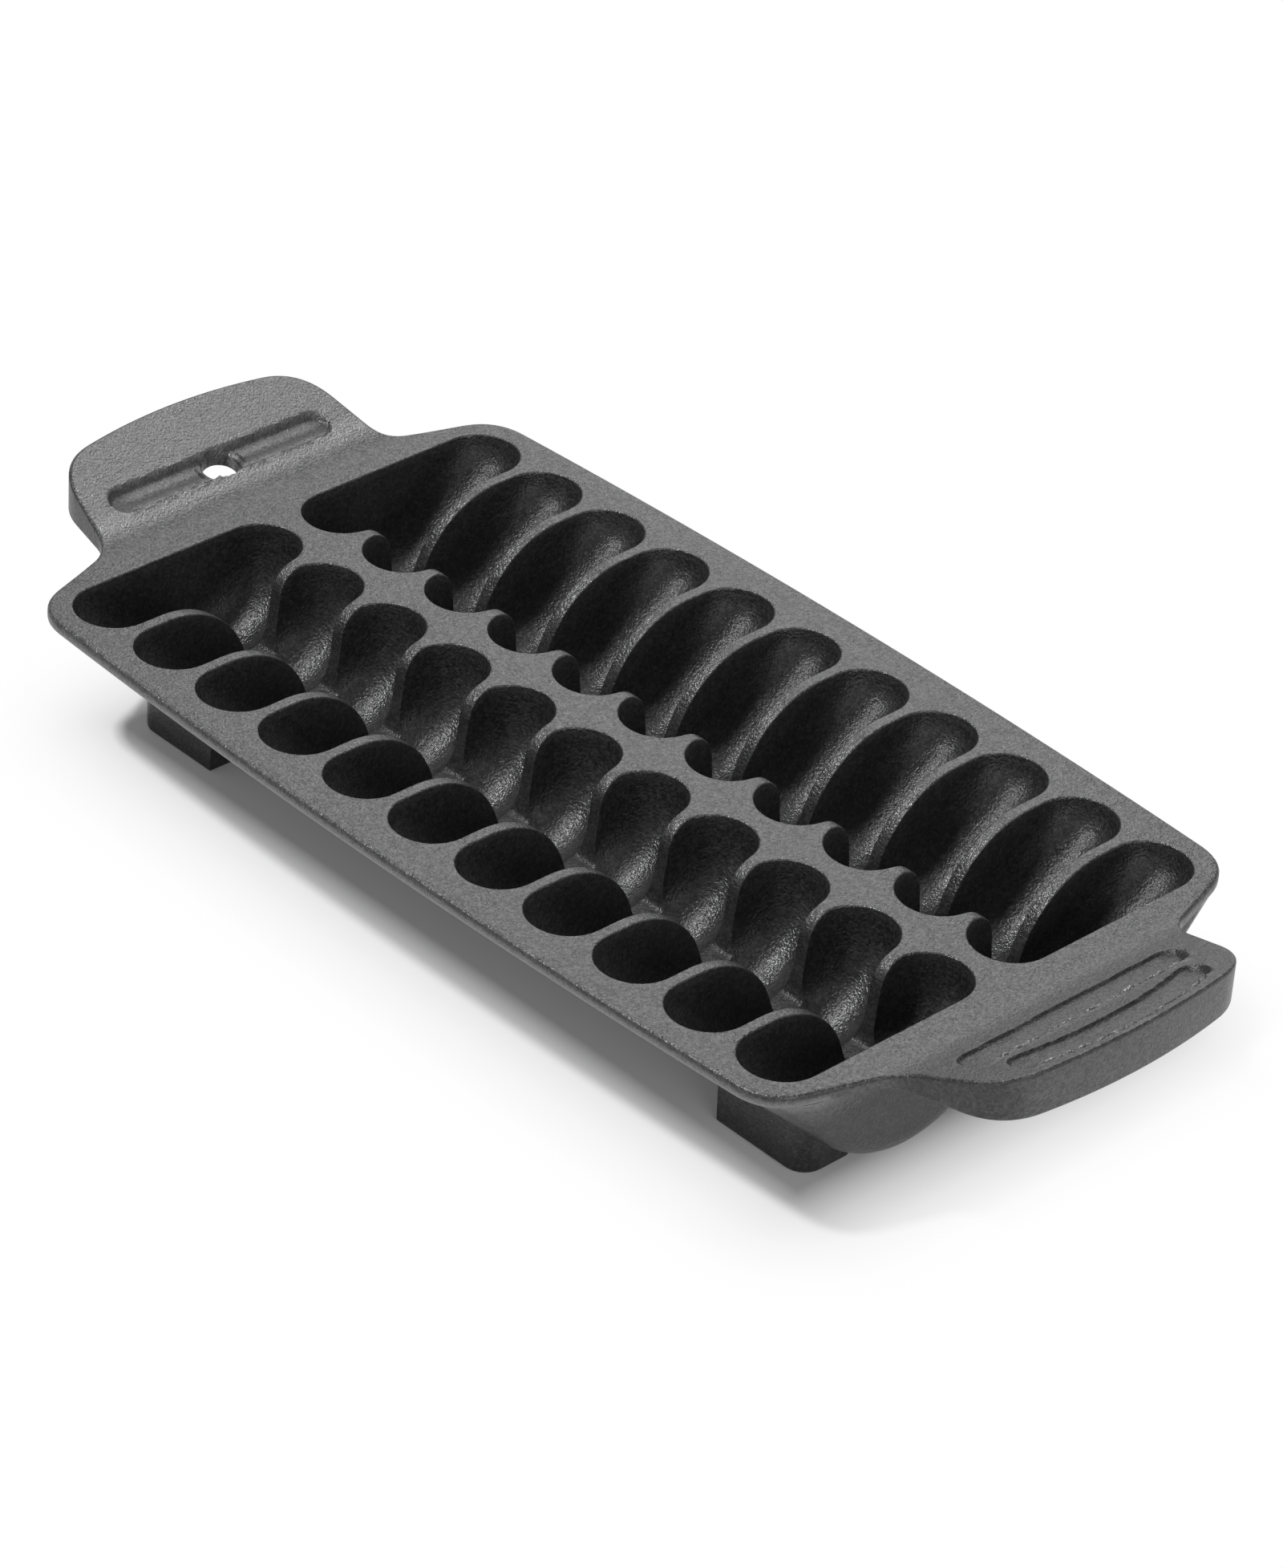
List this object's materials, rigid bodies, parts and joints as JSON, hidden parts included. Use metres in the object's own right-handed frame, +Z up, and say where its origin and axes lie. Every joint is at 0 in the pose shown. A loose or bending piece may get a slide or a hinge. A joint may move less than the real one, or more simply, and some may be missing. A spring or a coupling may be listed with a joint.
{
  "type": "shrimp pan",
  "caption": "Cast iron pan with two rows of curved shrimp-shaped wells under a flat deck, a raised handle with finger grooves at each end and short feet.",
  "frame": {"origin": "on the table under the middle of the pan", "axes": "+X from the back handle with the hanging hole to the front handle, +Y from the near long edge to the far one, +Z up"},
  "size_m": [0.3472, 0.1618, 0.0514],
  "materials": {
    "iron": "matte seasoned sand casting"
  },
  "bodies": {
    "root": {"well_near_01": "iron", "well_near_02": "iron", "well_near_03": "iron", "well_near_04": "iron", "well_near_05": "iron", "well_near_06": "iron", "well_near_07": "iron", "well_near_08": "iron", "well_near_09": "iron", "well_near_10": "iron", "well_near_11": "iron", "well_far_01": "iron", "well_far_02": "iron", "well_far_03": "iron", "well_far_04": "iron", "well_far_05": "iron", "well_far_06": "iron", "well_far_07": "iron", "well_far_08": "iron", "well_far_09": "iron", "well_far_10": "iron", "well_far_11": "iron", "rail_near": "iron", "rail_far": "iron", "handle_front": "iron", "handle_back": "iron", "foot_near_front": "iron", "foot_near_back": "iron", "foot_far_front": "iron", "foot_far_back": "iron"}
  },
  "joints": []
}
